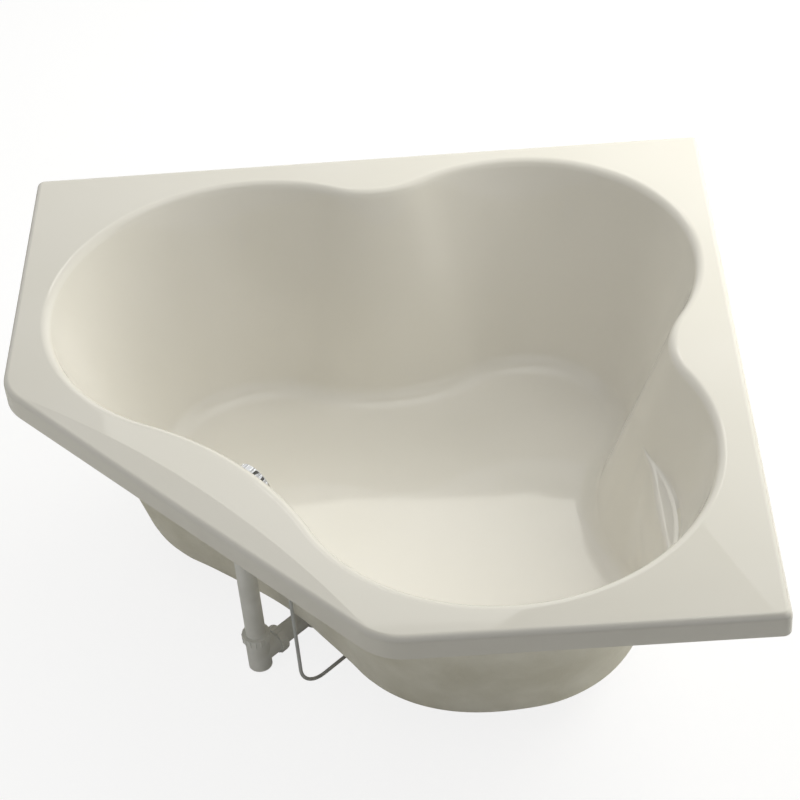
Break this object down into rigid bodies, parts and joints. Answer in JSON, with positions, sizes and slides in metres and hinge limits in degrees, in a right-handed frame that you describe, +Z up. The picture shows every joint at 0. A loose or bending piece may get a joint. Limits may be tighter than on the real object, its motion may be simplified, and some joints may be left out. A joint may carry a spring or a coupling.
{
  "type": "corner soaking bathtub",
  "caption": "Drop-in corner soaking bath with a clover-shaped well, an arm ledge, a floor drain and a turning overflow dial that lifts the drain stopper by cable.",
  "frame": {"origin": "on the floor, under the middle of the rim's box", "axes": "+Z up; -Y toward the diagonal front; +Y toward the room's corner"},
  "size_m": [1.927, 1.4386, 0.508],
  "materials": {
    "acrylic": "gloss biscuit acrylic",
    "glassfibre": "rough sprayed glass-fibre resin",
    "wood": "raw board and batten, resin-wetted",
    "block_plastic": "matt moulded",
    "steel": "zinc plated",
    "chrome": "polished",
    "rubber": "matt",
    "pipe_plastic": "satin moulded",
    "brass": "satin machined",
    "cable_jacket": "satin extruded"
  },
  "bodies": {
    "bath": {"tub_shell": "acrylic", "glassfibre_backing": "glassfibre", "rim_battens": "wood", "base_board": "wood", "foot_blocks": "block_plastic", "foot_screws": "steel", "drain_flange": "chrome", "drain_sealing_ring": "rubber", "drain_shoe": "pipe_plastic", "lever_axle": "steel", "waste_tube": "pipe_plastic", "waste_tee": "pipe_plastic", "overflow_tube": "pipe_plastic", "overflow_elbow": "pipe_plastic", "overflow_gasket": "rubber", "overflow_plate": "chrome", "plate_screws": "chrome", "housing_cover": "pipe_plastic", "cover_screws": "steel", "cable_conduit": "cable_jacket", "conduit_nuts": "pipe_plastic", "slip_nuts": "pipe_plastic", "slip_washers": "rubber"},
    "dial": {"overflow_dial": "chrome", "dial_screw": "steel", "dial_shaft": "brass", "drive_pinion": "brass"},
    "rack": {"cable_rack": "brass"},
    "plunger": {"cable_plunger": "steel"},
    "lever": {"lift_lever": "brass"},
    "stopper": {"stopper_cap": "chrome", "stopper_seal": "rubber", "stopper_pin": "brass"}
  },
  "joints": [
    {"name": "dial_turn", "type": "hinge", "parent": "bath", "child": "dial", "pos_m": [0, -0.55705, 0.436], "axis": [0, 0.9903, 0.1392], "range_deg": [0, 90]},
    {"name": "rack_slide", "type": "slide", "parent": "bath", "child": "rack", "axis": [1, 0, 0], "range_m": [0, 0.00942]},
    {"name": "plunger_slide", "type": "slide", "parent": "bath", "child": "plunger", "axis": [-1, 0, 0], "range_m": [0, 0.00942]},
    {"name": "lever_turn", "type": "hinge", "parent": "bath", "child": "lever", "pos_m": [0.015, -0.40893, 0.03], "axis": [0, 1, 0], "range_deg": [0, 34.92]},
    {"name": "stopper_lift", "type": "slide", "parent": "bath", "child": "stopper", "axis": [0, 0, 1], "range_m": [0, 0.009]}
  ],
  "couplings": [
    {"joint": "rack_slide", "follows": "dial_turn", "m_per_rad": 0.006},
    {"joint": "plunger_slide", "follows": "dial_turn", "m_per_rad": 0.006},
    {"joint": "lever_turn", "follows": "dial_turn", "ratio": 0.38795},
    {"joint": "stopper_lift", "follows": "dial_turn", "m_per_rad": 0.0057295}
  ]
}
